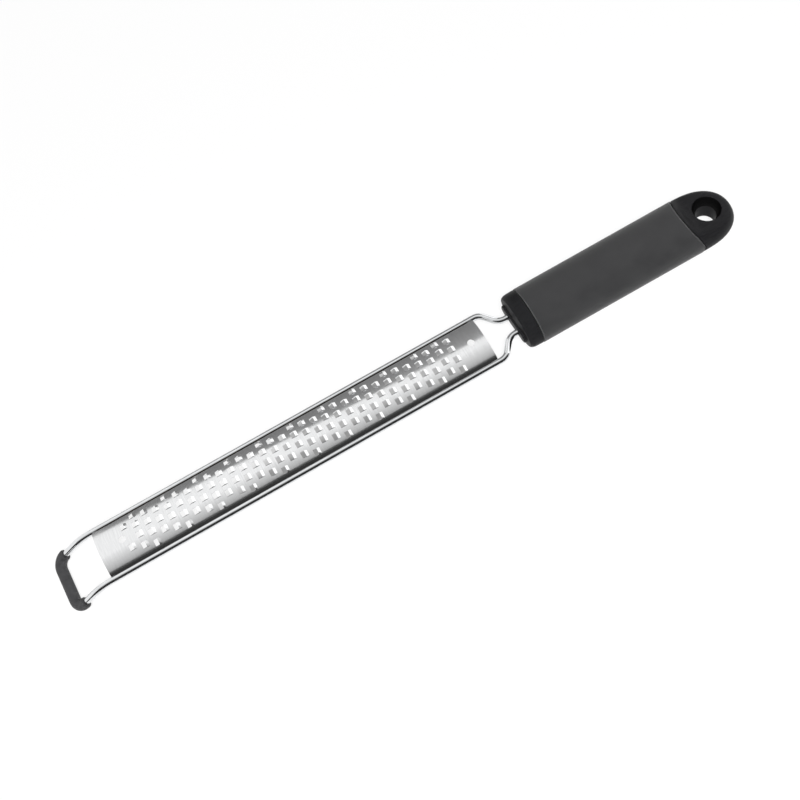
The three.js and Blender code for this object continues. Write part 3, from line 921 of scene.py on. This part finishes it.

# %% [markdown]
# The hanging hole has a wide mouth with a crisp edge, a bowl below it, and a narrower bore through to
# the underside. A spool of that outline is turned, tipped square to the dropping face, and cut away.
# The faces of the bowl take the painted shade.

# %% Cut the hanging hole
RIM_STEPS = 6
SPOOL_SIDES = 96
BOWL_DEPTH = 4.6 * MM
BEYOND = FLAT_HALF + 4 * MM
rim_turn = quarter_turn(RIM_STEPS)
bowl_top = FLAT_HALF - HANG_EDGE
spool_points = [(BEYOND, 0), (BEYOND, HANG_MOUTH + HANG_EDGE)]
spool_points += [(bowl_top + HANG_EDGE * math.cos(angle), HANG_MOUTH + HANG_EDGE * (1 - math.sin(angle)))
                 for angle in rim_turn]
spool_points += [(bowl_top - BOWL_DEPTH * math.sin(angle),
                  HANG_HOLE + (HANG_MOUTH - HANG_HOLE) * math.cos(angle)) for angle in rim_turn[1:]]
spool_points += [(-bowl_top - HANG_EDGE * math.sin(angle), HANG_HOLE + HANG_EDGE * (1 - math.cos(angle)))
                 for angle in rim_turn]
spool_points += [(-BEYOND, HANG_HOLE + HANG_EDGE), (-BEYOND, 0)]

hole_share = (hang_x - grip_rear) / end_run
hole_place = Vector((hang_x, 0, handle_z - END_DROP * hole_share ** DROP_POWER))
hole_lean = math.atan(DROP_POWER * END_DROP * hole_share ** (DROP_POWER - 1) / end_run)
hole_axis = Vector((math.sin(hole_lean), 0, math.cos(hole_lean)))
spool = turned(spool_points, SPOOL_SIDES, closed=False)
bmesh.ops.rotate(spool, verts=spool.verts, cent=(0, 0, 0),
                 matrix=Matrix.Rotation(hole_lean - math.pi / 2, 3, "Y"))
bmesh.ops.translate(spool, verts=spool.verts, vec=hole_place)
bm = cut(bm, spool)
# The bowl's faces take the painted shade.
for face in bm.faces:
    middle = face.calc_center_median() - hole_place
    height = middle.dot(hole_axis)
    from_axis = (middle - height * hole_axis).length
    if from_axis < HANG_MOUTH and height > bowl_top - BOWL_DEPTH:
        face.material_index = 1
print("hole's lean in degrees:", round(math.degrees(hole_lean), 1))

# %% [markdown]
# The plug's pocket and the bores for the wire tails are cut in the same way. The pocket is a little
# wider than the plug, which leaves the thin groove round it.

# %% Cut the pocket and the bores
PLUG_GAP = 0.3 * MM
TAIL_FIT = 0.15 * MM
TAIL_END_GAP = 0.3 * MM
POCKET_LEAD = 2 * MM
pocket = oval_block(PLUG_WIDTH + 2 * PLUG_GAP, PLUG_HEIGHT + 2 * PLUG_GAP,
                    core_low.x - POCKET_LEAD, plug_high.x + PLUG_GAP)
bm = cut(bm, pocket)
bm = cut(bm, wire_bores(WIRE_RADIUS + TAIL_FIT, plug_high.x - MM, wire_high.x + TAIL_END_GAP))
core = finish_piece("hard_core", bm, hard_black, ["handle_core"], crisp=40)
core.data.materials.append(hole_painted_shade)

# %% [markdown]
# ## A white that gives no light
# A white background should not add light to the grater. The floor and the world therefore have two
# looks: rays of the camera, of mirrors and of glass see white, while the light that falls on things
# comes from the lamp, the plain paper and a dim tent.

# %% Helpers for the background
def background_rays(tree):
    """1 for rays that see the white background, 0 for those that carry light."""
    rays = tree.nodes.new("ShaderNodeLightPath").outputs
    seen = reckon(tree, "MAXIMUM", rays["Is Camera Ray"], rays["Is Glossy Ray"])
    return reckon(tree, "MAXIMUM", seen, rays["Is Transmission Ray"])


def blend(tree, share, first, second):
    mix = tree.nodes.new("ShaderNodeMixShader")
    for source, socket in zip((share, first, second), mix.inputs):
        tree.links.new(source, socket)
    return mix.outputs["Shader"]


# %% [markdown]
# ## The floor
# The grater stands on a plain white table. A diffuse white keeps the soft shadow under it, and a share
# of white lifts the table to the background, fully so far away from the grater. Under the blade, from
# its middle to the handle, that white is dimmed to grey, a painted shadow over the real one: there the
# openings look down into it, as they do in the photograph. The place is bounded by soft fades along,
# across and slantwise.

# %% Where the floor is lifted to white
FLOOR_LIFT = 0.85
LIFT_NEAR, LIFT_FAR = 0.4, 1.5
SLANT = -2.5
SHADE_START = (-113 * MM, -73 * MM)
SHADE_END = (44 * MM, 30 * MM)
SHADE_NEAR = (-8.5 * MM, -2 * MM)
SHADE_FAR = (21 * MM, 14.5 * MM)
MIDDLE_NEAR = (0, 5 * MM)
MIDDLE_FAR = (14 * MM, 9 * MM)
SHADE_AT_SIDES, SHADE_AT_MIDDLE = 0.74, 0.54
paper, tree, shader = new_finish("floor_paper", Base_Color=(0.9, 0.9, 0.9, 1), Roughness=0.9,
                                 Specular_IOR_Level=0.0)
lengthways, crossways, _ = object_axes(tree)
slantwise = reckon(tree, "MULTIPLY_ADD", crossways, SLANT, lengthways)
# Painted shadow: under the blade the floor's white glow is dimmed to grey.
under = times(tree, fade(tree, slantwise, *SHADE_START), fade(tree, lengthways, *SHADE_END),
              fade(tree, crossways, *SHADE_NEAR), fade(tree, crossways, *SHADE_FAR))
middle = times(tree, fade(tree, crossways, *MIDDLE_NEAR), fade(tree, crossways, *MIDDLE_FAR))
shade = times(tree, under, fade(tree, middle, 0, 1, SHADE_AT_SIDES, SHADE_AT_MIDDLE))
glow = tree.nodes.new("ShaderNodeEmission")
tree.links.new(reckon(tree, "SUBTRACT", 1.0, shade), glow.inputs["Strength"])
away = tree.nodes.new("ShaderNodeVectorMath")
away.operation = "LENGTH"
tree.links.new(object_place(tree), away.inputs[0])
lifted = times(tree, background_rays(tree),
               fade(tree, away.outputs["Value"], LIFT_NEAR, LIFT_FAR, FLOOR_LIFT, 1.0))
print("floor finish:", paper.name)

# %% [markdown]
# The paper and the white are mixed by that share. Seen from below, the table is clear, so that the
# underside of the grater can be looked at.

# %% Floor
FLOOR_HALF = 4
white_paper = blend(tree, lifted, shader.outputs["BSDF"], glow.outputs["Emission"])
clear = tree.nodes.new("ShaderNodeBsdfTransparent")
side = tree.nodes.new("ShaderNodeNewGeometry")
one_sided = blend(tree, side.outputs["Backfacing"], white_paper, clear.outputs["BSDF"])
tree.links.new(one_sided, tree.nodes["Material Output"].inputs["Surface"])

floor_mesh = bpy.data.meshes.new("floor")
bm = bmesh.new()
bmesh.ops.create_grid(bm, x_segments=1, y_segments=1, size=FLOOR_HALF)
bm.to_mesh(floor_mesh)
bm.free()
floor = bpy.data.objects.new("floor", floor_mesh)
bpy.context.scene.collection.objects.link(floor)
floor.data.materials.append(paper)
print("floor:", floor.name)

# %% [markdown]
# ## The tent
# Polished steel shows the room more than its own colour. In the photograph it is bright almost
# everywhere, as it would be in a white tent. The world is white for the camera and for mirrors, and
# dim for the light that it gives.

# %% World
TENT_LIGHT = 0.14
world = bpy.data.worlds.new("tent")
bpy.context.scene.world = world
world.use_nodes = True
tree = world.node_tree
tent = tree.nodes["Background"]
white = tree.nodes.new("ShaderNodeBackground")
for background, strength in ((tent, TENT_LIGHT), (white, 1.0)):
    background.inputs["Color"].default_value = (1, 1, 1, 1)
    background.inputs["Strength"].default_value = strength
sky = blend(tree, background_rays(tree), tent.outputs["Background"], white.outputs["Background"])
tree.links.new(sky, tree.nodes["World Output"].inputs["Surface"])
print("world:", world.name)

# %% [markdown]
# ## Cards
# A few cards shape the steel. Dark ones on the camera's side and on the table give the dark line
# along the near edge and on the wires. A ceiling card runs from grey to white, so the near half of the
# blade fades softly. A grey card at the back dulls the far half towards the handle, and a bright one
# on the right lights the sloping lips. Only mirrors see the cards, so the light on the floor stays
# even.

# %% A card
def card(name, corners, start, end, along=2):
    """A panel that only mirrors see, shaded from start to end along one axis."""
    mesh = bpy.data.meshes.new(name)
    bm = bmesh.new()
    bmesh.ops.contextual_create(bm, geom=[bm.verts.new(corner) for corner in corners])
    bm.to_mesh(mesh)
    bm.free()
    panel = bpy.data.objects.new(name, mesh)
    bpy.context.scene.collection.objects.link(panel)
    finish, tree, shader = new_finish(name + "_finish", Base_Color=(0, 0, 0, 1), Specular_IOR_Level=0.0,
                                      Emission_Color=(1, 1, 1, 1))
    reach = [corner[along] for corner in corners]
    shade = map_range(tree, object_axes(tree)[along], min(reach), max(reach), start, end)
    tree.links.new(shade, shader.inputs["Emission Strength"])
    mesh.materials.append(finish)
    panel.visible_camera = False
    panel.visible_diffuse = False
    panel.visible_shadow = False
    panel.visible_transmission = False
    print("card:", name)


# %% [markdown]
# The cards' places are in metres. The card on the camera's side and the ceiling card meet in an edge,
# like the wall and the roof of a tent, and the one on the table ends a little in front of the blade.
# The back card is cut slantwise, because its edge shows in the blade as the border between dull and
# bright.

# %% Set up the cards
CARD_HALF = 2.5
CARD_FOOT = 0.02
FRONT_Y = -1
CEILING_Y, CEILING_Z = 0.35, 2.2
TABLE_HALF = 0.5
TABLE_NEAR, TABLE_FAR, TABLE_Z = -0.9, -0.045, 0.004
BACK_Y = 1.5
RIGHT_FAR, RIGHT_NEAR = (0.8, 1.6), (2.2, -0.85)
RIGHT_TOP = 2.4
back_edge = ((-0.45, CARD_FOOT), (0.75, CARD_FOOT), (0.95, 3.7), (0.8, 3.7), (0.43, 2.87), (-0.08, 1.58),
             (-0.4, 0.49))
card("camera_side_card", ((-CARD_HALF, FRONT_Y, CARD_FOOT), (CARD_HALF, FRONT_Y, CARD_FOOT),
                          (CARD_HALF, FRONT_Y, CEILING_Z), (-CARD_HALF, FRONT_Y, CEILING_Z)), 0.03, 0.06)
card("ceiling_card", ((-CARD_HALF, FRONT_Y, CEILING_Z), (CARD_HALF, FRONT_Y, CEILING_Z),
                      (CARD_HALF, CEILING_Y, CEILING_Z), (-CARD_HALF, CEILING_Y, CEILING_Z)),
     0.44, 0.95, along=1)
card("table_front_card", ((-TABLE_HALF, TABLE_NEAR, TABLE_Z), (TABLE_HALF, TABLE_NEAR, TABLE_Z),
                          (TABLE_HALF, TABLE_FAR, TABLE_Z), (-TABLE_HALF, TABLE_FAR, TABLE_Z)),
     0.05, 0.05)
card("back_card", [(x, BACK_Y, z) for x, z in back_edge], 0.2, 0.42)
card("right_card", ((*RIGHT_FAR, CARD_FOOT), (*RIGHT_NEAR, CARD_FOOT),
                    (*RIGHT_NEAR, RIGHT_TOP), (*RIGHT_FAR, RIGHT_TOP)), 1.3, 1.3)

# %% [markdown]
# ## The lamp
# One soft lamp above the camera's side lights rubber and plastic and gives the shadow on the table.
# Mirrors don't see it, because the cards already shape the steel.

# %% Lamp
LAMP_LENGTH, LAMP_WIDTH = 0.5, 0.4
LAMP_WATTS = 43
LAMP_PLACE = Vector((-0.15, -0.85, 1.6))
lamp = bpy.data.lights.new("key", "AREA")
lamp.shape = "RECTANGLE"
lamp.size = LAMP_LENGTH
lamp.size_y = LAMP_WIDTH
lamp.energy = LAMP_WATTS
key = bpy.data.objects.new("key", lamp)
key.location = LAMP_PLACE
key.rotation_euler = (-LAMP_PLACE).to_track_quat("-Z", "Y").to_euler()
key.visible_glossy = False
bpy.context.scene.collection.objects.link(key)
print("lamp:", key.name)

# %% [markdown]
# ## The view
# The picture is shown without any tone curve, so colours come out as they are written.

# %% View
bpy.context.scene.view_settings.view_transform = "Standard"
